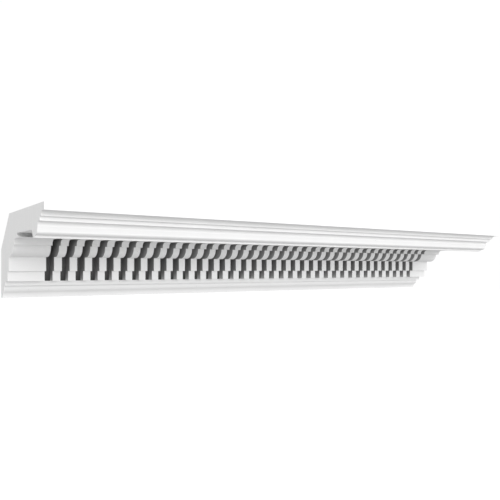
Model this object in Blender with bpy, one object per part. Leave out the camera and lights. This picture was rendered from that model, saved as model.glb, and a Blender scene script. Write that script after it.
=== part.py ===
"""One length of a cast plaster cornice with a slotted dentil course.

The casting is a single solid. Its section is drawn once, as an outline that runs up the front from the
foot on the wall to the ceiling, and that section is carried straight along X. Between the two plain end
blocks the bed mould is cut by a row of upright slots that leave the dentils standing.

Frame: X along the moulding, +Y into the wall, +Z up. The wall face lies in the plane Y = 0, and the
origin is at the middle of that face. All sizes are in metres.
"""

import math

import bmesh
import bpy

# Overall size
LENGTH = 1.000
HEIGHT = 0.132
PROJECTION = 0.250

# Chamfer behind, between the wall face and the ceiling face
CHAMFER_DEPTH = 0.057
CHAMFER_HEIGHT = 0.054

# Crown, from the top front edge down and back
TOP_BAND_HEIGHT = 0.0108
TOP_BAND_OVERHANG = 0.009
CROWN_COVE_DEPTH = 0.007
CROWN_COVE_HEIGHT = 0.0066
SECOND_BAND_SETBACK = 0.0055
SECOND_BAND_HEIGHT = 0.0057
SECOND_BAND_OVERHANG = 0.0066
CYMA_HOLLOW_DEPTH = 0.0038
CYMA_HOLLOW_HEIGHT = 0.0068
CYMA_FLANK_DEPTH = 0.0021
CYMA_FLANK_HEIGHT = 0.0053
CYMA_ROUND_DEPTH = 0.0097
CYMA_ROUND_HEIGHT = 0.0056
LIP_SETBACK = 0.0016
LIP_HEIGHT = 0.0033
LIP_THICKNESS = 0.0087
LIP_DRAFT = 0.0058
SOFFIT_RISE = 0.0114

# Foot and lower bands, from the wall out and from the foot up
FOOT_THICKNESS = 0.010
REVERSA_DEPTH = 0.0108
REVERSA_HEIGHT = 0.0190
QUIRK_HEIGHT = 0.0011
FILLET_STEP = 0.0086
FILLET_HEIGHT = 0.0073
LOWER_FASCIA_STEP = 0.0166
LOWER_FASCIA_HEIGHT = 0.0158
UPPER_FASCIA_STEP = 0.0082

# Ovolo, cavetto and beak, hung under the soffit
OVOLO_STEP = 0.0083
OVOLO_DEPTH = 0.0187
OVOLO_HEIGHT = 0.0172
CAVETTO_STEP = 0.0083
CAVETTO_BAND_HEIGHT = 0.0012
CAVETTO_DEPTH = 0.0085
CAVETTO_HEIGHT = 0.0082
BEAK_LENGTH = 0.025
BEAK_NOSE_HEIGHT = 0.0008
BEAK_HOLLOW_DEPTH = 0.0180
BEAK_HOLLOW_HEIGHT = 0.0063

# Slots between the dentils
SLOT_WIDTH = 0.0125
DENTIL_WIDTH = 0.0125
LEAST_END_BLOCK = 0.050
SLOT_BACK_RELIEF = 0.0026

# Facets on each curved member
WIDE_CURVE_STEPS = 10
SMALL_CURVE_STEPS = 6
SHARP_EDGE_ANGLE = math.radians(30)

PLASTER_COLOUR = (0.86, 0.86, 0.845, 1.0)
PLASTER_ROUGHNESS = 0.75


def clear_scene():
    """Remove the objects that the new file starts with."""
    for existing in list(bpy.data.objects):
        bpy.data.objects.remove(existing, do_unlink=True)


def quarter_curve(start, end, leaves_upright, steps):
    """Quarter ellipse from start to end, without its start point.

    It leaves upright and arrives level, or leaves level and arrives upright.
    """
    points = []
    for step in range(1, steps + 1):
        turn = math.radians(90) * step / steps
        if leaves_upright:
            out = end[0] + (start[0] - end[0]) * math.cos(turn)
            up = start[1] + (end[1] - start[1]) * math.sin(turn)
        else:
            out = start[0] + (end[0] - start[0]) * math.sin(turn)
            up = end[1] + (start[1] - end[1]) * math.cos(turn)
        points.append((out, up))
    return points


def reversa_curve(start, end, steps):
    """Two equal tangent arcs from start up and out to end, without the start point.

    Both ends are upright. The lower arc is hollow and the upper one is round.
    """
    half_out = (end[0] - start[0]) / 2
    half_up = (end[1] - start[1]) / 2
    sweep = 2 * math.atan2(half_out, half_up)
    radius = half_up / math.sin(sweep)
    hollow = []
    for step in range(1, steps + 1):
        turn = sweep * step / steps
        hollow.append((radius * (1 - math.cos(turn)), radius * math.sin(turn)))
    lower = [(start[0] + out, start[1] + up) for out, up in hollow]
    upper = [(end[0] - out, end[1] - up) for out, up in reversed(hollow[:-1])]
    return lower + upper + [end]


def section_levels():
    """Heights and projections that several members share."""
    lip_underside = HEIGHT - (
        TOP_BAND_HEIGHT + CROWN_COVE_HEIGHT + SECOND_BAND_HEIGHT
        + CYMA_HOLLOW_HEIGHT + CYMA_FLANK_HEIGHT + CYMA_ROUND_HEIGHT + LIP_HEIGHT
    )
    fillet_out = FOOT_THICKNESS + REVERSA_DEPTH + FILLET_STEP
    return {
        "soffit": lip_underside + SOFFIT_RISE,
        "lip_underside": lip_underside,
        "fillet_out": fillet_out,
        "fillet_top": REVERSA_HEIGHT + QUIRK_HEIGHT + FILLET_HEIGHT,
        "slot_back": fillet_out + SLOT_BACK_RELIEF,
    }


def foot_points(levels):
    """From the wall, up the cyma reversa, to the top of the small fillet."""
    reversa_start = (FOOT_THICKNESS, 0.0)
    reversa_end = (FOOT_THICKNESS + REVERSA_DEPTH, REVERSA_HEIGHT)
    fillet_foot = REVERSA_HEIGHT + QUIRK_HEIGHT
    points = [(0.0, 0.0), reversa_start]
    points += reversa_curve(reversa_start, reversa_end, SMALL_CURVE_STEPS)
    points += [
        (reversa_end[0], fillet_foot),
        (levels["fillet_out"], fillet_foot),
        (levels["fillet_out"], levels["fillet_top"]),
    ]
    return points


def bed_mould_points(levels):
    """The two fascias, ovolo, cavetto and beak: the members that the slots cut through.

    The upper fascia takes up whatever height the other members leave.
    """
    lower_out = levels["fillet_out"] + LOWER_FASCIA_STEP
    upper_out = lower_out + UPPER_FASCIA_STEP
    ovolo_start_out = upper_out + OVOLO_STEP
    ovolo_end_out = ovolo_start_out + OVOLO_DEPTH
    cavetto_out = ovolo_end_out + CAVETTO_STEP
    beak_root_out = cavetto_out + CAVETTO_DEPTH
    beak_out = beak_root_out + BEAK_LENGTH

    upper_foot = levels["fillet_top"] + LOWER_FASCIA_HEIGHT
    beak_underside = levels["soffit"] - BEAK_HOLLOW_HEIGHT - BEAK_NOSE_HEIGHT
    cavetto_foot = beak_underside - CAVETTO_HEIGHT
    ovolo_top = cavetto_foot - CAVETTO_BAND_HEIGHT
    ovolo_foot = ovolo_top - OVOLO_HEIGHT

    points = [
        (lower_out, levels["fillet_top"]),
        (lower_out, upper_foot),
        (upper_out, upper_foot),
        (upper_out, ovolo_foot),
        (ovolo_start_out, ovolo_foot),
    ]
    points += quarter_curve(points[-1], (ovolo_end_out, ovolo_top), False, WIDE_CURVE_STEPS)
    points += [(cavetto_out, ovolo_top), (cavetto_out, cavetto_foot)]
    points += quarter_curve(points[-1], (beak_root_out, beak_underside), True, SMALL_CURVE_STEPS)
    points += [(beak_out, beak_underside), (beak_out, beak_underside + BEAK_NOSE_HEIGHT)]
    beak_hollow_end = (beak_out - BEAK_HOLLOW_DEPTH, levels["soffit"])
    points += quarter_curve(points[-1], beak_hollow_end, False, SMALL_CURVE_STEPS)
    return points


def crown_points(levels):
    """From the inner edge of the lip, round the crown, over the ceiling face and down the chamfer."""
    top_band_foot = HEIGHT - TOP_BAND_HEIGHT
    second_band_top = top_band_foot - CROWN_COVE_HEIGHT
    second_band_foot = second_band_top - SECOND_BAND_HEIGHT
    flank_top = second_band_foot - CYMA_HOLLOW_HEIGHT
    flank_foot = flank_top - CYMA_FLANK_HEIGHT
    cyma_foot = flank_foot - CYMA_ROUND_HEIGHT

    cove_top_out = PROJECTION - TOP_BAND_OVERHANG
    cove_foot_out = cove_top_out - CROWN_COVE_DEPTH
    second_band_out = cove_foot_out - SECOND_BAND_SETBACK
    cyma_top_out = second_band_out - SECOND_BAND_OVERHANG
    flank_top_out = cyma_top_out - CYMA_HOLLOW_DEPTH
    flank_foot_out = flank_top_out - CYMA_FLANK_DEPTH
    cyma_foot_out = flank_foot_out - CYMA_ROUND_DEPTH
    lip_out = cyma_foot_out - LIP_SETBACK
    lip_inner_out = lip_out - LIP_THICKNESS

    points = [
        (lip_inner_out - LIP_DRAFT, levels["soffit"]),
        (lip_inner_out, levels["lip_underside"]),
        (lip_out, levels["lip_underside"]),
        (lip_out, cyma_foot),
        (cyma_foot_out, cyma_foot),
    ]
    points += quarter_curve(points[-1], (flank_foot_out, flank_foot), False, WIDE_CURVE_STEPS)
    points.append((flank_top_out, flank_top))
    points += quarter_curve(points[-1], (cyma_top_out, second_band_foot), True, SMALL_CURVE_STEPS)
    points += [
        (second_band_out, second_band_foot),
        (second_band_out, second_band_top),
        (cove_foot_out, second_band_top),
    ]
    points += quarter_curve(points[-1], (cove_top_out, top_band_foot), True, SMALL_CURVE_STEPS)
    points += [
        (PROJECTION, top_band_foot),
        (PROJECTION, HEIGHT),
        (CHAMFER_DEPTH, HEIGHT),
        (0.0, HEIGHT - CHAMFER_HEIGHT),
    ]
    return points


def slot_spans():
    """Start and end of each slot along X, spread evenly so that both end blocks are equal."""
    pitch = SLOT_WIDTH + DENTIL_WIDTH
    count = int((LENGTH - 2 * LEAST_END_BLOCK + DENTIL_WIDTH) / pitch)
    end_block = (LENGTH - count * SLOT_WIDTH - (count - 1) * DENTIL_WIDTH) / 2
    starts = [end_block + pitch * index for index in range(count)]
    return [(start, start + SLOT_WIDTH) for start in starts]


class SectionSweep:
    """A closed mesh gathered from section points set at places along X, each vertex made once."""

    def __init__(self):
        self.bm = bmesh.new()
        self.vertices = {}

    def vertex(self, x, point):
        key = (x, point)
        if key not in self.vertices:
            self.vertices[key] = self.bm.verts.new((x, -point[0], point[1]))
        return self.vertices[key]

    def face(self, corners):
        self.bm.faces.new([self.vertex(x, point) for x, point in corners])

    def strip(self, start, end, path):
        """Rectangles between two places along X, one for each straight piece of the path."""
        for low, high in zip(path, path[1:]):
            self.face([(start, low), (end, low), (end, high), (start, high)])

    def cap(self, x, path):
        self.face([(x, point) for point in path])

    def comb(self, far_point, dentil_point, slot_point, slots):
        """A level face with a straight far edge and a near edge that steps back at every slot."""
        near_edge = [(0.0, dentil_point)]
        for start, end in slots:
            near_edge += [(start, dentil_point), (start, slot_point), (end, slot_point), (end, dentil_point)]
        near_edge.append((LENGTH, dentil_point))
        self.face(near_edge + [(LENGTH, far_point), (0.0, far_point)])

    def mesh(self, name):
        bmesh.ops.recalc_face_normals(self.bm, faces=self.bm.faces)
        mesh = bpy.data.meshes.new(name)
        self.bm.to_mesh(mesh)
        self.bm.free()
        return mesh


def cornice_mesh():
    levels = section_levels()
    foot = foot_points(levels)
    bed = bed_mould_points(levels)
    crown = crown_points(levels)
    slots = slot_spans()
    slot_foot = (levels["slot_back"], levels["fillet_top"])
    slot_head = (levels["slot_back"], levels["soffit"])

    sweep = SectionSweep()
    for x in (0.0, LENGTH):
        sweep.cap(x, foot + bed + crown)
    sweep.strip(0.0, LENGTH, foot)
    sweep.strip(0.0, LENGTH, crown + foot[:1])
    sweep.comb(foot[-1], bed[0], slot_foot, slots)
    sweep.comb(crown[0], bed[-1], slot_head, slots)

    solid_starts = [0.0] + [end for start, end in slots]
    solid_ends = [start for start, end in slots] + [LENGTH]
    for start, end in zip(solid_starts, solid_ends):
        sweep.strip(start, end, bed)
    for start, end in slots:
        sweep.strip(start, end, [slot_foot, slot_head])
        for x in (start, end):
            sweep.cap(x, [slot_foot] + bed + [slot_head])
    return sweep.mesh("cornice")


def plaster_material():
    material = bpy.data.materials.new("cast_plaster")
    material.use_nodes = True
    surface = material.node_tree.nodes["Principled BSDF"]
    surface.inputs["Base Color"].default_value = PLASTER_COLOUR
    surface.inputs["Roughness"].default_value = PLASTER_ROUGHNESS
    surface.inputs["Metallic"].default_value = 0.0
    return material


def build_cornice():
    """Place the casting with the middle of its wall face at the origin."""
    mesh = cornice_mesh()
    mesh.shade_smooth()
    mesh.set_sharp_from_angle(angle=SHARP_EDGE_ANGLE)
    mesh.materials.append(plaster_material())
    cornice = bpy.data.objects.new("cornice", mesh)
    wall_face_height = HEIGHT - CHAMFER_HEIGHT
    cornice.location = (-LENGTH / 2, 0.0, -wall_face_height / 2)
    bpy.context.collection.objects.link(cornice)
    return cornice


clear_scene()
build_cornice()
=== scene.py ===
# %% [markdown]
# # A slotted plaster cornice
#
# A cornice is the moulding that closes the corner between a wall and a ceiling. This one is a straight
# length of cast gypsum plaster: a stepped crown, a drip lip in front of a deep soffit, and under it a row
# of dentils, the small blocks left standing between upright slots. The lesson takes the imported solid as
# a fixed frame and dresses it: a finer skin with softened arrises, plaster materials, and soft light.

import math

import bmesh
import bpy
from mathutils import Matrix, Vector


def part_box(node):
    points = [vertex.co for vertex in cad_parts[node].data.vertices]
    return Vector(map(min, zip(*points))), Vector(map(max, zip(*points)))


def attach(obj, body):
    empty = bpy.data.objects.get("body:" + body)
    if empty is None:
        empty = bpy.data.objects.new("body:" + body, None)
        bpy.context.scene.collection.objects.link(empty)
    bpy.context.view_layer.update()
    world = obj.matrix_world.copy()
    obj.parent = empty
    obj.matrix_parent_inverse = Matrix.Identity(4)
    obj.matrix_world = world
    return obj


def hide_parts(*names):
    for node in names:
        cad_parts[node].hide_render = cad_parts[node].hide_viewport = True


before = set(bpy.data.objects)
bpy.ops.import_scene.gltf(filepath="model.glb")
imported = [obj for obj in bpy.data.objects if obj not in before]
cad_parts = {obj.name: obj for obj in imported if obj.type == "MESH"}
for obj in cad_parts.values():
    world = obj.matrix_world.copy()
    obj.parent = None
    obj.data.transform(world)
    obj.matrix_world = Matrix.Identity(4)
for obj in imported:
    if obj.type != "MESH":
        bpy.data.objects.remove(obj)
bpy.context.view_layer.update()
print("packed nodes:", len(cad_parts))

# %% [markdown]
# ## Driving sizes
#
# A plasterer names a place on a cornice by how far along it is, how far out from the wall, and how far
# up from the foot. The skin could be drawn straight in Blender's metres, but then every number would
# hide where it is on the moulding. So the script works in the plasterer's millimetres, takes the overall
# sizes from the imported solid, and turns each place into metres only when a vertex is made.

# %% Overall sizes in millimetres
MM = 0.001


def in_mm(metres):
    """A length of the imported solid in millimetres, to the hundredth."""
    return round(metres / MM, 2)


lowest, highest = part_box("cornice")
LENGTH = in_mm(highest.x - lowest.x)
PROJECTION = in_mm(-lowest.y)
HEIGHT = in_mm(highest.z - lowest.z)
FOOT_HEIGHT = in_mm(lowest.z)


def y_of(out):
    """Y in metres of a distance out from the wall."""
    return -out * MM


def z_of(up):
    """Z in metres of a height above the foot."""
    return (up + FOOT_HEIGHT) * MM


print("length, projection, height, foot:", LENGTH, PROJECTION, HEIGHT, FOOT_HEIGHT)

# %% [markdown]
# ## The camera
#
# The photograph was taken close to the left end, a little below the crown, looking along the moulding.
# Such a view could be guessed by eye, but here both ends and all the slots give enough known points to
# work it out: eye, turn and lens come from a fit of the section's corners. The camera stays level, so
# upright edges stay upright, and a small lens shift sets the horizon where the photograph has it.

# %% Camera
FRAME_PIXELS = 500
FOCAL_PIXELS = 574.2
HORIZON_PIXELS = 269.6
EYE = Vector((-0.7012, -0.9905, 0.0067))
TURN_FROM_WALL = math.radians(34.92)
SENSOR_WIDTH = 36.0
FARTHEST_SEEN = 500.0

camera_data = bpy.data.cameras.new("studio_camera")
camera_data.sensor_width = SENSOR_WIDTH
camera_data.lens = SENSOR_WIDTH * FOCAL_PIXELS / FRAME_PIXELS
camera_data.shift_y = (HORIZON_PIXELS - FRAME_PIXELS / 2) / FRAME_PIXELS
camera_data.clip_end = FARTHEST_SEEN
camera = bpy.data.objects.new("studio_camera", camera_data)
camera.location = EYE
camera.rotation_euler = (math.radians(90), 0.0, -TURN_FROM_WALL)
bpy.context.scene.collection.objects.link(camera)
bpy.context.scene.camera = camera
print("lens, mm:", round(camera_data.lens, 2), "shift:", round(camera_data.shift_y, 4))

# %% [markdown]
# ## The section
#
# On the bench a cornice begins as one drawing: its section, cut in zinc as a template and dragged along
# wet plaster to make the model for the mould. The script starts the same way. Each member is a few
# points, each a distance out and a height up, and a curved member is a run of short chords. Beziers
# would also do, but points stay exact where straight and curved parts meet.

# %% Curved members
CURVE_STEPS = 20
REVERSA_STEPS = CURVE_STEPS // 2


def quarter_round(start, end, leaves_upright):
    """Quarter ellipse from start to end, without its start point."""
    points = []
    for step in range(1, CURVE_STEPS + 1):
        turn = math.radians(90) * step / CURVE_STEPS
        if leaves_upright:
            out = end[0] + (start[0] - end[0]) * math.cos(turn)
            up = start[1] + (end[1] - start[1]) * math.sin(turn)
        else:
            out = start[0] + (end[0] - start[0]) * math.sin(turn)
            up = end[1] + (start[1] - end[1]) * math.cos(turn)
        points.append((out, up))
    return points


def cyma_reversa(start, end):
    """A hollow arc that turns into a round one, upright at both ends, without its start point."""
    half_out = (end[0] - start[0]) / 2
    half_up = (end[1] - start[1]) / 2
    sweep = 2 * math.atan2(half_out, half_up)
    radius = half_up / math.sin(sweep)
    hollow = []
    for step in range(1, REVERSA_STEPS + 1):
        turn = sweep * step / REVERSA_STEPS
        hollow.append((radius * (1 - math.cos(turn)), radius * math.sin(turn)))
    lower = [(start[0] + out, start[1] + up) for out, up in hollow]
    upper = [(end[0] - out, end[1] - up) for out, up in reversed(hollow[:-1])]
    return lower + upper + [end]


print("chords in a quarter round:", CURVE_STEPS, "and in a cyma reversa:", 2 * REVERSA_STEPS)

# %% [markdown]
# ## The foot
#
# The moulding dies on the wall in a cyma reversa, a hollow that swells into a round, under a narrow flat
# fillet. A quirk one millimetre high parts the two and draws a thin shadow line. The curve could be two
# quarter ellipses, but two equal tangent arcs match the softer slope that the end face shows.

# %% Foot line
FOOT_OUT = 10.0
REVERSA_OUT = 20.8
REVERSA_TOP = 19.0
FILLET_OUT = 29.4
FILLET_FOOT = 20.1
FILLET_TOP = 27.4
SLOT_BACK_OUT = 32.0
SLOT_FOOT = (SLOT_BACK_OUT, FILLET_TOP)

foot_line = [(0.0, 0.0), (FOOT_OUT, 0.0)]
foot_line += cyma_reversa(foot_line[-1], (REVERSA_OUT, REVERSA_TOP))
foot_line += [(REVERSA_OUT, FILLET_FOOT), (FILLET_OUT, FILLET_FOOT), (FILLET_OUT, FILLET_TOP), SLOT_FOOT]
print("foot points:", len(foot_line))

# %% [markdown]
# ## The bed mould
#
# Under the soffit hang the members that the slots will cut: a low fascia, a tall one, an ovolo, and a
# cavetto that ends in a thin beak with a hollow top. They step out one over the other to carry the eye
# from wall to crown. Each could be a body of its own, but the real ones are one casting, so their line
# runs on without a break from the foot of the slots to the soffit.

# %% Bed line
LOWER_FASCIA_OUT = 46.0
LOWER_FASCIA_TOP = 43.2
UPPER_FASCIA_OUT = 54.2
UPPER_FASCIA_TOP = 65.6
OVOLO_FOOT_OUT = 62.5
OVOLO_TOP_OUT = 81.2
OVOLO_TOP = 82.8
CAVETTO_FOOT_OUT = 89.5
CAVETTO_FOOT = 84.0
CAVETTO_TOP_OUT = 98.0
BEAK_OUT = 123.0
BEAK_UNDERSIDE = 92.2
BEAK_NOSE_TOP = 93.0
BEAK_ROOT_OUT = 105.0
SOFFIT = 99.3
BEAK_ROOT = (BEAK_ROOT_OUT, SOFFIT)
SLOT_HEAD = (SLOT_BACK_OUT, SOFFIT)

bed_line = [
    SLOT_FOOT,
    (LOWER_FASCIA_OUT, FILLET_TOP),
    (LOWER_FASCIA_OUT, LOWER_FASCIA_TOP),
    (UPPER_FASCIA_OUT, LOWER_FASCIA_TOP),
    (UPPER_FASCIA_OUT, UPPER_FASCIA_TOP),
    (OVOLO_FOOT_OUT, UPPER_FASCIA_TOP),
]
bed_line += quarter_round(bed_line[-1], (OVOLO_TOP_OUT, OVOLO_TOP), False)
bed_line += [(CAVETTO_FOOT_OUT, OVOLO_TOP), (CAVETTO_FOOT_OUT, CAVETTO_FOOT)]
bed_line += quarter_round(bed_line[-1], (CAVETTO_TOP_OUT, BEAK_UNDERSIDE), True)
bed_line += [(BEAK_OUT, BEAK_UNDERSIDE), (BEAK_OUT, BEAK_NOSE_TOP)]
bed_line += quarter_round(bed_line[-1], BEAK_ROOT, False)
print("bed mould points:", len(bed_line))

# %% [markdown]
# ## The crown
#
# The crown reaches far out over the room. Its drip lip hangs below the soffit and hides it, and above the
# lip rise a cyma recta, a second band, a small cove and a flat top band. The cyma could be two quarter
# ellipses, but the end face shows a tight round, a straight flank and a shallow hollow, so the flank is
# one chord between two quarters. Behind, a chamfer leaves room for pipes and adhesive in the corner.

# %% Crown line
LIP_ROOT_OUT = 190.2
LIP_INNER_OUT = 196.0
LIP_OUT = 204.7
LIP_UNDERSIDE = 87.9
CYMA_FOOT_OUT = 206.3
CYMA_FOOT = 91.2
FLANK_FOOT_OUT = 216.0
FLANK_FOOT = 96.8
FLANK_TOP_OUT = 218.1
FLANK_TOP = 102.1
CYMA_TOP_OUT = 221.9
SECOND_BAND_OUT = 228.5
SECOND_BAND_FOOT = 108.9
SECOND_BAND_TOP = 114.6
COVE_FOOT_OUT = 234.0
COVE_TOP_OUT = 241.0
TOP_BAND_FOOT = 121.2
CHAMFER_OUT = 57.0
WALL_FACE_TOP = 78.0

crown_line = [
    BEAK_ROOT,
    (LIP_ROOT_OUT, SOFFIT),
    (LIP_INNER_OUT, LIP_UNDERSIDE),
    (LIP_OUT, LIP_UNDERSIDE),
    (LIP_OUT, CYMA_FOOT),
    (CYMA_FOOT_OUT, CYMA_FOOT),
]
crown_line += quarter_round(crown_line[-1], (FLANK_FOOT_OUT, FLANK_FOOT), False)
crown_line.append((FLANK_TOP_OUT, FLANK_TOP))
crown_line += quarter_round(crown_line[-1], (CYMA_TOP_OUT, SECOND_BAND_FOOT), True)
crown_line += [
    (SECOND_BAND_OUT, SECOND_BAND_FOOT),
    (SECOND_BAND_OUT, SECOND_BAND_TOP),
    (COVE_FOOT_OUT, SECOND_BAND_TOP),
]
crown_line += quarter_round(crown_line[-1], (COVE_TOP_OUT, TOP_BAND_FOOT), True)
crown_line += [
    (PROJECTION, TOP_BAND_FOOT),
    (PROJECTION, HEIGHT),
    (CHAMFER_OUT, HEIGHT),
    (0.0, WALL_FACE_TOP),
    (0.0, 0.0),
]
print("crown points:", len(crown_line))

# %% [markdown]
# ## Softened arrises
#
# An arris is the edge where two faces meet. Plaster never leaves a mould with a knife edge: the mould's
# own corners, the brush and handling round it by a few tenths of a millimetre, and that small round is
# what catches the light. A Bevel modifier could do this, but next to quirks one millimetre high it
# clamps or crosses over. Rounding each corner of the drawing in code keeps every quirk open.

# %% Round the corners of a line
ARRIS_RADIUS = 0.3
ARRIS_STEPS = 3
LEAST_CORNER = math.radians(22)
MOST_OF_A_SIDE = 0.42
MOST_OF_A_RADIUS = 0.9


def direction(start, end):
    """Unit vector from one section point to the next, and the distance between them."""
    out = end[0] - start[0]
    up = end[1] - start[1]
    length = math.hypot(out, up)
    return (out / length, up / length), length


def soften(line):
    """The line with each sharp corner swapped for a short arc, and the inset that each point allows.

    An arc uses less than half of each side, so that two never meet on a short one. A hollow line could
    be inset without end, but an arris allows less than its own radius before it turns inside out.
    """
    points = [line[0]]
    room = [math.inf]
    for before, corner, after in zip(line, line[1:], line[2:]):
        (from_out, from_up), from_length = direction(before, corner)
        (to_out, to_up), to_length = direction(corner, after)
        turn = math.atan2(from_out * to_up - from_up * to_out, from_out * to_out + from_up * to_up)
        if abs(turn) < LEAST_CORNER:
            points.append(corner)
            room.append(math.inf)
            continue
        cut = ARRIS_RADIUS * math.tan(abs(turn) / 2)
        cut = min(cut, MOST_OF_A_SIDE * from_length, MOST_OF_A_SIDE * to_length)
        radius = cut / math.tan(turn / 2)
        start = (corner[0] - from_out * cut, corner[1] - from_up * cut)
        for step in range(ARRIS_STEPS + 1):
            part = turn * step / ARRIS_STEPS
            along = radius * math.sin(part)
            across = radius * (1 - math.cos(part))
            out = start[0] + from_out * along - from_up * across
            up = start[1] + from_up * along + from_out * across
            points.append((out, up))
            room.append(MOST_OF_A_RADIUS * radius if turn > 0 else math.inf)
    points.append(line[-1])
    room.append(math.inf)
    return points, room


foot_soft, foot_room = soften(foot_line)
bed_soft, bed_room = soften(bed_line)
crown_soft, crown_room = soften(crown_line)
print("softened points:", len(foot_soft), len(bed_soft), len(crown_soft))

# %% [markdown]
# ## Side arrises
#
# The slots are cut upright through the whole bed mould, and each dentil's side arrises have the same soft
# edge as the long ones. The dentils could be beveled one by one, but the drawing already holds their
# shape: it is pulled in by the arris radius where a side face begins, and swells back to its full size
# in two short steps. Inside corners, at the back of a slot, stay crisp.

# %% Pull a line in, towards the plaster
LEAST_MITRE = 0.5


def inset(line, room, distance):
    """The line moved into the plaster by a distance, with its two end points kept."""
    moved = [line[0]]
    for before, point, after, most in zip(line, line[1:], line[2:], room[1:]):
        (from_out, from_up), _ = direction(before, point)
        (to_out, to_up), _ = direction(point, after)
        normal = (-(from_up + to_up), from_out + to_out)
        mitre = max(LEAST_MITRE, 1 + from_out * to_out + from_up * to_up)
        scale = min(distance, most) / mitre
        moved.append((point[0] + normal[0] * scale, point[1] + normal[1] * scale))
    moved.append(line[-1])
    return moved


# A slot's side face ends on this line, where the round of its arris begins.
side_line = inset(bed_soft, bed_room, ARRIS_RADIUS)
print("points round a slot's side:", len(side_line))

# %% Steps of a side arris
SIDE_STEPS = 2
SIDE_PLACES = SIDE_STEPS + 1


def arris_places(edge, inward):
    """Places along X for a side arris, each with the inset that its round has there."""
    places = []
    for step in range(SIDE_PLACES):
        turn = math.radians(90) * step / SIDE_STEPS
        across = ARRIS_RADIUS * (1 - math.cos(turn))
        depth = ARRIS_RADIUS * (1 - math.sin(turn))
        places.append((edge + inward * across, depth))
    return places


print("from a side face, mm:", [(round(x, 3), round(depth, 3)) for x, depth in arris_places(0.0, 1)])

# %% [markdown]
# ## Slots and blocks
#
# The row is an even rhythm: each slot is as wide as the dentil beside it, and the row stops short of both
# ends, so that two plain blocks close it. The slots could be copied along an array, but the section has
# to run on unbroken above and below them. So the script lists where each slot and each block starts and
# ends, and the skin is woven to that list.

# %% Places along the length
SLOT_WIDTH = 12.5
DENTIL_WIDTH = 12.5
SLOT_COUNT = 36
DENTIL_COUNT = SLOT_COUNT - 1
END_BLOCK = (LENGTH - SLOT_COUNT * SLOT_WIDTH - DENTIL_COUNT * DENTIL_WIDTH) / 2

slots = []
for index in range(SLOT_COUNT):
    slot_start = END_BLOCK + index * (SLOT_WIDTH + DENTIL_WIDTH)
    slots.append((slot_start, slot_start + SLOT_WIDTH))
block_starts = [0.0] + [end for _, end in slots]
block_ends = [start for start, _ in slots] + [LENGTH]
print("slots:", len(slots), "blocks:", len(block_starts), "end block, mm:", END_BLOCK)

# %% Places where a block needs a vertex
block_places = []
for start, end in zip(block_starts, block_ends):
    block_places.append(arris_places(start, 1) + arris_places(end, -1)[::-1])

# The two end blocks face a slot on one side only, and a sawn end on the other.
block_places[0] = block_places[0][SIDE_PLACES:]
block_places[-1] = block_places[-1][:SIDE_PLACES]
print("places along the row:", sum(len(places) for places in block_places))

# %% [markdown]
# ## The skin
#
# The drawing is now carried along X, as the template was dragged along the bench. A curve with a bevel
# object would be quicker, but it can't step in and out of the slots. One closed mesh comes out, because
# the real casting is one piece. Every face is given the finish it will need: the cast front, the slots,
# the sawn ends, and the back that was struck off level with the mould's rim.

# %% Vertices and faces of the skin
CAST, SLOT_SIDE, SLOT_WALL, SAWN, STRUCK = range(5)
SAME_POINT_DIGITS = 4

skin = bmesh.new()
made_vertices = {}


def corner_at(x, point):
    """The vertex at a place along the moulding and a point of the section, made once."""
    out, up = point
    key = (round(x, SAME_POINT_DIGITS), round(out, SAME_POINT_DIGITS), round(up, SAME_POINT_DIGITS))
    if key not in made_vertices:
        made_vertices[key] = skin.verts.new(((x - LENGTH / 2) * MM, y_of(out), z_of(up)))
    return made_vertices[key]


def add_face(corners, finish):
    """A face through corners, each a place along X and a point of the section."""
    face = skin.faces.new([corner_at(x, point) for x, point in corners])
    face.material_index = finish


def add_strip(near_x, near_line, far_x, far_line, finish):
    """Faces between a line at one place along X and its fellow at the next."""
    for index in range(len(near_line) - 1):
        add_face([
            (near_x, near_line[index]),
            (far_x, far_line[index]),
            (far_x, far_line[index + 1]),
            (near_x, near_line[index + 1]),
        ], finish)


print("finishes to give:", STRUCK + 1)

# %% [markdown]
# ## Dentils and end blocks
#
# A dentil is the plaster left between two slots: the bed mould's line over a short run, closed at each
# side by an arris and a flat face. It could be one block, copied, but the copies' corners would have to
# be welded to the foot and the soffit. Here every run is made in place and shares its vertices with them.

# %% Blocks between the slots
END_ROUND = ARRIS_RADIUS
first_x = END_ROUND
last_x = LENGTH - END_ROUND

block_runs = [list(places) for places in block_places]
block_runs[0].insert(0, (first_x, 0.0))
block_runs[-1].append((last_x, 0.0))
for run in block_runs:
    lines = [(x, inset(bed_soft, bed_room, depth) if depth > 0 else bed_soft) for x, depth in run]
    for (near_x, near_line), (far_x, far_line) in zip(lines, lines[1:]):
        add_strip(near_x, near_line, far_x, far_line, CAST)
print("faces on the blocks:", len(skin.faces))

# %% Walls of the slots
for start, end in slots:
    add_face([(start, SLOT_FOOT), (end, SLOT_FOOT), (end, SLOT_HEAD), (start, SLOT_HEAD)], SLOT_WALL)
    for x in (start, end):
        add_face([(x, point) for point in side_line] + [(x, SLOT_HEAD)], SLOT_SIDE)
print("faces with the slots:", len(skin.faces))

# %% [markdown]
# ## Members that run through
#
# Foot, crown and back pass the slots untouched, so each of their facets is one long strip. Two level
# faces tie them to the dentils: the fillet's top below, with the dentils' feet along its inner edge, and
# the soffit above, whose inner edge steps back into every slot. Both could be cut up into small
# rectangles, but a flat face with many corners renders the same, and leaves no seams.

# %% Foot and fillet top
def through_strip(line, finish):
    """A strip that runs from one end of the moulding to the other."""
    add_strip(first_x, line, last_x, line, finish)


fillet_arris = foot_soft[-2]
fillet_top = [(first_x, fillet_arris), (first_x, SLOT_FOOT)]
for places in block_places:
    fillet_top += [(x, SLOT_FOOT) for x, _ in places]
fillet_top += [(last_x, SLOT_FOOT), (last_x, fillet_arris)]

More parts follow.
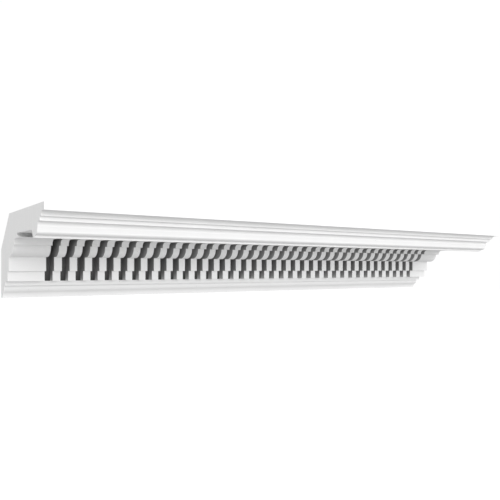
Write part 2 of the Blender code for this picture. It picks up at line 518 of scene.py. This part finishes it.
through_strip(foot_soft[:-1], CAST)
add_face(fillet_top, CAST)
print("corners of the fillet's top:", len(fillet_top))

# %% Soffit
lip_root = crown_soft[1]
soffit_face = [(first_x, BEAK_ROOT)]
for places, slot in zip(block_places, slots + [()]):
    soffit_face += [(x, BEAK_ROOT) for x, _ in places]
    soffit_face += [(x, SLOT_HEAD) for x in slot]
soffit_face += [(last_x, BEAK_ROOT), (last_x, lip_root), (first_x, lip_root)]
add_face(soffit_face, CAST)
print("corners of the soffit:", len(soffit_face))

# %% Crown and back
CLEAR_OF_EDGE = 0.1

# The struck face begins at the first point on top that is clear of the top band's arris.
for struck_from, (out, up) in enumerate(crown_soft):
    if up > HEIGHT - CLEAR_OF_EDGE and out < PROJECTION - CLEAR_OF_EDGE:
        break
through_strip(crown_soft[1:struck_from + 1], CAST)
through_strip(crown_soft[struck_from:], STRUCK)
print("cast strips:", struck_from - 1, "struck strips:", len(crown_soft) - 1 - struck_from)

# %% [markdown]
# ## The sawn ends
#
# The length is cut square at both ends, so each end face is the whole drawing filled in. A plain cap
# would give it a knife edge all round. So the closed outline is pulled in by the arris radius for the
# cap, and two narrow rings of faces round it off to the full section.

# %% Two end faces with their rings
closed_line = foot_soft[:-1] + bed_soft + crown_soft[1:-1]
closed_room = foot_room[:-1] + bed_room + crown_room[1:-1]


def closed_inset(distance):
    """Inset of the whole section, whose last point joins its first."""
    line = [closed_line[-1]] + closed_line + [closed_line[0]]
    room = [math.inf] + closed_room + [math.inf]
    return inset(line, room, distance)[1:-1]


for edge, inward in ((0.0, 1), (LENGTH, -1)):
    rings = []
    for x, depth in arris_places(edge, inward):
        rings.append((x, closed_inset(depth) if depth > 0 else closed_line))
    cap_x, cap_line = rings[0]
    add_face([(cap_x, point) for point in cap_line], SAWN)
    for (near_x, near_line), (far_x, far_line) in zip(rings, rings[1:]):
        add_strip(near_x, near_line + near_line[:1], far_x, far_line + far_line[:1], SAWN)
print("corners of an end face:", len(closed_line))

# %% Close the skin and measure it
bmesh.ops.recalc_face_normals(skin, faces=skin.faces)
open_edges = [edge for edge in skin.edges if len(edge.link_faces) != 2]
print("faces:", len(skin.faces), "open edges:", len(open_edges))
print("volume, litres:", round(skin.calc_volume() * 1000, 3))

# %% [markdown]
# ## One piece on the frame
#
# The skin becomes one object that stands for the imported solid. Its curves should look round and its
# bands flat. Flat shading would show every chord, and plain smooth shading would bow the flat faces next
# to the small arrises. So it is shaded smooth, kept sharp at inside corners, and its normals are weighted
# by area, which keeps the broad faces flat.

# %% The plaster piece
SHARP_EDGE_ANGLE = math.radians(50)
LARGEST_FACE_WEIGHT = 100

plaster_mesh = bpy.data.meshes.new("plaster_cornice")
skin.to_mesh(plaster_mesh)
skin.free()
plaster_mesh.shade_smooth()
plaster_mesh.set_sharp_from_angle(angle=SHARP_EDGE_ANGLE)
plaster = bpy.data.objects.new("plaster_cornice", plaster_mesh)
bpy.context.scene.collection.objects.link(plaster)
weighted = plaster.modifiers.new("flat_faces_stay_flat", "WEIGHTED_NORMAL")
weighted.keep_sharp = True
weighted.weight = LARGEST_FACE_WEIGHT
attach(plaster, "root")
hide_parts("cornice")
print("piece:", plaster.name, "polygons:", len(plaster_mesh.polygons))

# %% [markdown]
# ## Colour and nodes
#
# Every plaster on this piece is a small tree of nodes. They could be wired by hand in the shader editor,
# but a script can be read and repeated. Colours are written as the sRGB hex values that a colour picker
# shows, and one function turns them to the linear values that the renderer adds up. One more function
# adds a node with its settings and links.

# %% Helpers for materials
def linear(hex_colour):
    """Linear RGBA of an sRGB hex colour: the sRGB curve is straight near black and a power above that."""
    channels = [int(hex_colour[i:i + 2], 16) / 255 for i in (1, 3, 5)]
    return [c / 12.92 if c <= 0.04045 else ((c + 0.055) / 1.055) ** 2.4 for c in channels] + [1.0]


def add_node(tree, kind, settings=None, **links):
    """A node with its properties or socket values set, and its inputs linked by socket name."""
    node = tree.nodes.new(kind)
    for name, value in (settings or {}).items():
        if name in node.inputs:
            node.inputs[name].default_value = value
        else:
            setattr(node, name, value)
    for name, source in links.items():
        tree.links.new(source, node.inputs[name.replace("_", " ")])
    return node


print("a near white, linear:", [round(value, 3) for value in linear("#F0F0F0")[:3]])

# %% [markdown]
# ## Gypsum plaster
#
# The stuff is casting plaster: gypsum ground fine, mixed with water, poured into a rubber mould and
# brushed. What makes it plaster to the eye is that it scatters light with no gloss at all, so it is rough
# all over, with the refractive index of gypsum, 1.52. Each way of making a face leaves its own marks. One
# material with masks could hold them all, but each finish has its own faces, so each gets a material of
# its own. The marks stay faint, because the photograph shows a clean, new, pure white casting.

# %% Start a plaster and lay its marks
GYPSUM_IOR = 1.52


def cells_per_metre(size):
    """Texture scale of a pattern this many millimetres across."""
    return 1 / (size * MM)


def new_plaster(name, roughness):
    """A plaster material; gives back the material, its node tree, its surface and the place on the object."""
    material = bpy.data.materials.new(name)
    material.use_nodes = True
    tree = material.node_tree
    surface = tree.nodes["Principled BSDF"]
    surface.inputs["Roughness"].default_value = roughness
    surface.inputs["IOR"].default_value = GYPSUM_IOR
    place = add_node(tree, "ShaderNodeTexCoord").outputs["Object"]
    return material, tree, surface, place


def lay_marks(tree, surface, tone, height, depth):
    """Links the tone to the colour, and a height pattern to the bump, its depth in millimetres."""
    bump = add_node(tree, "ShaderNodeBump", {"Strength": 1.0, "Distance": depth * MM}, Height=height)
    tree.links.new(tone, surface.inputs["Base Color"])
    tree.links.new(bump.outputs["Normal"], surface.inputs["Normal"])


print("a pattern 5 mm across has", round(cells_per_metre(5.0)), "cells in a metre")

# %% [markdown]
# ## The cast face
#
# Against the mould the plaster comes out smooth. Up close it has slow clouds of tone, a few centimetres
# wide, where the mix dried unevenly, a very fine grain, and here and there a pinhole that an air bubble
# left. A painted texture could show them, but noise in the object's own space has no seams and no end.
# The grain is really a tenth of a millimetre, too fine to show, so it is drawn 1.2 mm across. A pinhole
# is flat at the bottom and fades out at its rim: both radii are shares of the distance between pinholes,
# because that is the unit in which the Voronoi texture measures.

# %% Cast plaster
CLOUD_SIZE = 55.0
GRAIN_SIZE = 1.2
PINHOLE_SPACING = 14.0
PINHOLE_BOTTOM = 0.28
PINHOLE_RIM = 0.7
GRAIN_DEPTH = 0.03
CAST_ROUGHNESS = 0.75

cast, tree, surface, place = new_plaster("gypsum_plaster_cast", CAST_ROUGHNESS)
clouds = add_node(tree, "ShaderNodeTexNoise",
                  {"Scale": cells_per_metre(CLOUD_SIZE), "Detail": 3.0}, Vector=place)
grain = add_node(tree, "ShaderNodeTexNoise",
                 {"Scale": cells_per_metre(GRAIN_SIZE), "Detail": 2.0}, Vector=place)
clouded = add_node(tree, "ShaderNodeMixRGB",
                   {"Color1": linear("#E9E9E9"), "Color2": linear("#F1F1F1")}, Fac=clouds.outputs["Fac"])
bubbles = add_node(tree, "ShaderNodeTexVoronoi",
                   {"Scale": cells_per_metre(PINHOLE_SPACING)}, Vector=place)
pinholes = add_node(tree, "ShaderNodeMapRange",
                    {"From Min": PINHOLE_BOTTOM / PINHOLE_SPACING, "From Max": PINHOLE_RIM / PINHOLE_SPACING,
                     "To Min": 1.0, "To Max": 0.0}, Value=bubbles.outputs["Distance"])
# Painted shade: the pinholes are also painted a darker grey, as the shade inside each hole, besides their
# dent in the bump.
tone = add_node(tree, "ShaderNodeMixRGB", {"Color2": linear("#B8B8B8")},
                Fac=pinholes.outputs["Result"], Color1=clouded.outputs["Color"])
height = add_node(tree, "ShaderNodeMath", {"operation": "SUBTRACT"})
tree.links.new(grain.outputs["Fac"], height.inputs[0])
tree.links.new(pinholes.outputs["Result"], height.inputs[1])
lay_marks(tree, surface, tone.outputs["Color"], height.outputs["Value"], GRAIN_DEPTH)
print("clouds for one metre:", round(cells_per_metre(CLOUD_SIZE), 1))

# %% [markdown]
# ## The saw's marks
#
# The length was cut with a fine handsaw. The stroke runs up and down the section, and the teeth leave
# close parallel scores, about 1.6 mm apart here. A noise texture squeezed along one axis makes them: the
# place is scaled much more across the strokes than along them. A wave texture would look ruled.

# %% Sawn plaster
SAW_SCORE = 1.6
SAW_STROKE = 40.0
SAW_DEPTH = 0.06
SAWN_ROUGHNESS = 0.85


def streaked_plaster(name, roughness, shade, white, cell, depth):
    """Plaster with streaks: the cell gives a streak's size along X, Y and Z."""
    material, tree, surface, place = new_plaster(name, roughness)
    stretch = [cells_per_metre(size) for size in cell]
    squeezed = add_node(tree, "ShaderNodeMapping", {"Scale": stretch}, Vector=place)
    streaks = add_node(tree, "ShaderNodeTexNoise", {"Scale": 1.0, "Detail": 3.0, "Roughness": 0.6},
                       Vector=squeezed.outputs["Vector"])
    tone = add_node(tree, "ShaderNodeMixRGB", {"Color1": linear(shade), "Color2": linear(white)},
                    Fac=streaks.outputs["Fac"])
    lay_marks(tree, surface, tone.outputs["Color"], streaks.outputs["Fac"], depth)
    return material


sawn = streaked_plaster("gypsum_plaster_sawn", SAWN_ROUGHNESS, "#E8E8E8", "#F4F4F4",
                        (SAW_STROKE, SAW_SCORE, SAW_STROKE), SAW_DEPTH)
print("saw scores for one metre:", round(cells_per_metre(SAW_SCORE)))

# %% [markdown]
# ## The struck back
#
# The back and the top are the open side of the mould. A straightedge was dragged along it while the
# plaster set, which leaves long shallow drags a few millimetres wide, duller and a little rougher than
# the cast face. They will be bedded against wall and ceiling, so nobody smoothed them. The same squeezed
# noise makes them, with its long axis along the moulding, because they are streaks too.

# %% Struck plaster
DRAG_WIDTH = 5.0
DRAG_LENGTH = 260.0
DRAG_DEPTH = 0.25
STRUCK_ROUGHNESS = 0.9

struck = streaked_plaster("gypsum_plaster_struck", STRUCK_ROUGHNESS, "#DCDCDC", "#F0F0F0",
                          (DRAG_LENGTH, DRAG_WIDTH, DRAG_WIDTH), DRAG_DEPTH)
print("drags for one metre:", round(cells_per_metre(DRAG_WIDTH)))

# %% [markdown]
# ## Painted shade in the slots
#
# In the photograph the slots are far darker than the shade between white faces would be. So their faces
# get painted shade, a grey of their own: mid grey on the sides, paler towards the open front and foot,
# darker at the head, and darkest on the wall behind. Less light would darken them too, but would dull
# the faces beside them. The painted grey depends on the place in the slot, out from the wall and up from
# the foot, so it stays put from every side.

# %% Start a slot plaster with painted shade
GRIT_SIZE = 4.0
GRIT_DEPTH = 0.04
SLOT_ROUGHNESS = 0.9


def shaded_slot_plaster(name):
    """A slot plaster, grey as painted shade; gives back the material, node tree, surface, axes and a fine
    noise.
    """
    material, tree, surface, place = new_plaster(name, SLOT_ROUGHNESS)
    axes = add_node(tree, "ShaderNodeSeparateXYZ", Vector=place)
    grit = add_node(tree, "ShaderNodeTexNoise", {"Scale": cells_per_metre(GRIT_SIZE), "Detail": 3.0},
                    Vector=place)
    return material, tree, surface, axes.outputs, grit.outputs["Fac"]


print("dust specks for one metre:", round(cells_per_metre(GRIT_SIZE)))

# %% Sides of the slots, painted with shade
BRIGHTENS_FROM_OUT = 52.0
BRIGHTENS_TO_OUT = 78.0
FRONT_BRIGHTNESS = 0.8
BRIGHTENS_FROM_UP = 40.0
BRIGHTENS_TO_UP = 29.0
DARKENS_FROM_UP = 83.0
DARKENS_TO_UP = 93.0

slot_side, tree, surface, axes, grit = shaded_slot_plaster("gypsum_plaster_slot_side")
# Painted shade: the sides are painted mid grey, paler towards the open front and the foot and darker at the
# head, where a slot's shade would fall.
forward = add_node(tree, "ShaderNodeMapRange",
                   {"From Min": y_of(BRIGHTENS_FROM_OUT), "From Max": y_of(BRIGHTENS_TO_OUT),
                    "To Max": FRONT_BRIGHTNESS}, Value=axes["Y"])
low = add_node(tree, "ShaderNodeMapRange",
               {"From Min": z_of(BRIGHTENS_FROM_UP), "From Max": z_of(BRIGHTENS_TO_UP)}, Value=axes["Z"])
painted_light_mask = add_node(tree, "ShaderNodeMath", {"operation": "MAXIMUM"})
tree.links.new(forward.outputs["Result"], painted_light_mask.inputs[0])
tree.links.new(low.outputs["Result"], painted_light_mask.inputs[1])
painted_side_shade = add_node(tree, "ShaderNodeMixRGB", {"Color1": linear("#9A9A9A"), "Color2": linear("#BCBCBC")},
                     Fac=painted_light_mask.outputs["Value"])
near_head = add_node(tree, "ShaderNodeMapRange",
                     {"From Min": z_of(DARKENS_FROM_UP), "From Max": z_of(DARKENS_TO_UP)}, Value=axes["Z"])
painted_head_shade = add_node(tree, "ShaderNodeMixRGB", {"Color2": linear("#8C8C8C")},
                     Fac=near_head.outputs["Result"], Color1=painted_side_shade.outputs["Color"])
lay_marks(tree, surface, painted_head_shade.outputs["Color"], grit, GRIT_DEPTH)
print("slot side brightens from y, metres:", round(y_of(BRIGHTENS_FROM_OUT), 4))

# %% Wall behind the slots, painted with shade
WALL_PALES_FROM_UP = 29.0
WALL_PALES_TO_UP = 51.0

slot_wall, tree, surface, axes, grit = shaded_slot_plaster("gypsum_plaster_slot_wall")
# Painted shade: the wall behind is painted dark grey, darkest near the foot and a little paler higher up, in
# place of the deep shade in the slot.
higher = add_node(tree, "ShaderNodeMapRange",
                  {"From Min": z_of(WALL_PALES_FROM_UP), "From Max": z_of(WALL_PALES_TO_UP)},
                  Value=axes["Z"])
painted_wall_shade = add_node(tree, "ShaderNodeMixRGB", {"Color1": linear("#404040"), "Color2": linear("#6C6C6C")},
                     Fac=higher.outputs["Result"])
lay_marks(tree, surface, painted_wall_shade.outputs["Color"], grit, GRIT_DEPTH)
print("slot wall pales to z, metres:", round(z_of(WALL_PALES_TO_UP), 4))

# %% [markdown]
# ## Finishes on the skin
#
# A casting has one stuff and five finishes, and the two in the slots carry painted shade. Each face of the
# skin already carries the number of its finish, so the materials only need to be added to the mesh in that
# order. Painting them on face by face would do the same with more steps.

# %% Finishes in order
finishes = {CAST: cast, SLOT_SIDE: slot_side, SLOT_WALL: slot_wall, SAWN: sawn, STRUCK: struck}
for index in sorted(finishes):
    plaster_mesh.materials.append(finishes[index])
print("finishes:", [material.name for material in plaster_mesh.materials])

# %% [markdown]
# ## Floor
#
# The cornice hangs where it would in a room, with the floor 2.4 m below. In the photograph all around it
# is plain white, so the floor is white and shines a little by itself, or its far edge would show as a
# grey line. A floor as bright as that would also light the undersides from below, which the photograph
# doesn't show, so it is left out of the light that bounces, and the sky's lower half does that work.

# %% White floor
FLOOR_DROP = 2.4
FLOOR_HALF = 60.0
FLOOR_GLOW = 0.45
FLOOR_ROUGHNESS = 0.9

floor_mesh = bpy.data.meshes.new("floor")
floor_corners = [
    (-FLOOR_HALF, -FLOOR_HALF, 0.0),
    (FLOOR_HALF, -FLOOR_HALF, 0.0),
    (FLOOR_HALF, FLOOR_HALF, 0.0),
    (-FLOOR_HALF, FLOOR_HALF, 0.0),
]
floor_mesh.from_pydata(floor_corners, [], [(0, 1, 2, 3)])
floor = bpy.data.objects.new("floor", floor_mesh)
floor.location = (0.0, 0.0, -FLOOR_DROP)
floor.visible_diffuse = False
floor.visible_glossy = False
bpy.context.scene.collection.objects.link(floor)
floor_paint = bpy.data.materials.new("white_floor_paint")
floor_paint.use_nodes = True
paint_surface = floor_paint.node_tree.nodes["Principled BSDF"]
paint_surface.inputs["Base Color"].default_value = linear("#F4F4F4")
paint_surface.inputs["Roughness"].default_value = FLOOR_ROUGHNESS
paint_surface.inputs["Emission Color"].default_value = linear("#FFFFFF")
paint_surface.inputs["Emission Strength"].default_value = FLOOR_GLOW
floor_mesh.materials.append(floor_paint)
print("floor at, metres:", -FLOOR_DROP)

# %% [markdown]
# ## The sky
#
# The photograph has soft shadows and pale undersides, so most of its light comes from all round. Many
# lamps could give that, but a sky is simpler and evener. It is a white band at the horizon, which is
# also the plain background, and it dims towards the zenith and below. The levels come from a fit of the
# picture's tones: each one is a height, from straight down at -1 to straight up at 1, and a brightness.

# %% A sky by height
SKY_LEVELS = (
    (-1.0, 0.45),
    (-0.6, 0.75),
    (-0.25, 0.37),
    (-0.05, 1.0),
    (0.45, 1.0),
    (0.75, 0.75),
    (1.0, 0.35),
)
SKY_STRENGTH = 1.02

world = bpy.data.worlds.new("studio")
bpy.context.scene.world = world
world.use_nodes = True
sky_tree = world.node_tree
sky = sky_tree.nodes["Background"]
sky_place = add_node(sky_tree, "ShaderNodeTexCoord").outputs["Generated"]
sky_axes = add_node(sky_tree, "ShaderNodeSeparateXYZ", Vector=sky_place)
sky_height = add_node(sky_tree, "ShaderNodeMapRange", {"From Min": -1.0, "From Max": 1.0},
                      Value=sky_axes.outputs["Z"])
sky_ramp = add_node(sky_tree, "ShaderNodeValToRGB", Fac=sky_height.outputs["Result"])
sky_tree.links.new(sky_ramp.outputs["Color"], sky.inputs["Color"])
sky.inputs["Strength"].default_value = SKY_STRENGTH

# A new ramp has two stops already, which take the first two levels.
ramp = sky_ramp.color_ramp
ready_stops = len(ramp.elements)
for index, (height, level) in enumerate(SKY_LEVELS):
    place = (height + 1) / 2
    stop = ramp.elements[index] if index < ready_stops else ramp.elements.new(place)
    stop.position = place
    stop.color = (level, level, level, 1.0)
print("sky levels:", [(round(stop.position, 3), round(stop.color[0], 2)) for stop in ramp.elements])

# %% [markdown]
# ## The softbox
#
# One large soft source in front, a little above the moulding, gives the bands their shape. A sun lamp
# would draw hard edges, so this is a round softbox, as a studio would use. Its place, size and
# brightness come from the same fit of the picture's tones. The way to it is a compass bearing from +Y
# and an angle above the horizon. A disk sends out pi times its brightness from each square metre, and
# its area is pi times the radius squared: that product is the power.

# %% The softbox in front
SOFTBOX_BEARING = math.radians(178.0)
SOFTBOX_ELEVATION = math.radians(16.6)
SOFTBOX_HALF_ANGLE = math.radians(21.7)
SOFTBOX_DISTANCE = 6.0
SOFTBOX_BRIGHTNESS = 3.63

softbox_way = Vector((
    math.sin(SOFTBOX_BEARING) * math.cos(SOFTBOX_ELEVATION),
    math.cos(SOFTBOX_BEARING) * math.cos(SOFTBOX_ELEVATION),
    math.sin(SOFTBOX_ELEVATION),
))
softbox_radius = SOFTBOX_DISTANCE * math.tan(SOFTBOX_HALF_ANGLE)
softbox_data = bpy.data.lights.new("front_softbox", "AREA")
softbox_data.shape = "DISK"
softbox_data.size = 2 * softbox_radius
softbox_data.energy = SOFTBOX_BRIGHTNESS * math.pi * math.pi * softbox_radius ** 2
softbox = bpy.data.objects.new("front_softbox", softbox_data)
softbox.location = softbox_way * SOFTBOX_DISTANCE
softbox.rotation_euler = softbox_way.to_track_quat("Z", "Y").to_euler()
softbox.visible_camera = False
bpy.context.scene.collection.objects.link(softbox)
print("softbox radius, metres:", round(softbox_radius, 2), "power, watts:", round(softbox_data.energy))

# %% [markdown]
# ## White stays white
#
# A filmic view would press pure white down to a pale grey. The picture is of white plaster on pure
# white, so the plain view is used, where a brightness of one is white.

# %% Plain view
bpy.context.scene.view_settings.view_transform = "Standard"
print("view:", bpy.context.scene.view_settings.view_transform)

# %% [markdown]
# ## The scene brought up to date
#
# The skin must keep to the imported solid's box. Last, the view layer is updated, so that every object's
# box holds its final sizes.

# %% Bring the scene up to date
bpy.context.view_layer.update()
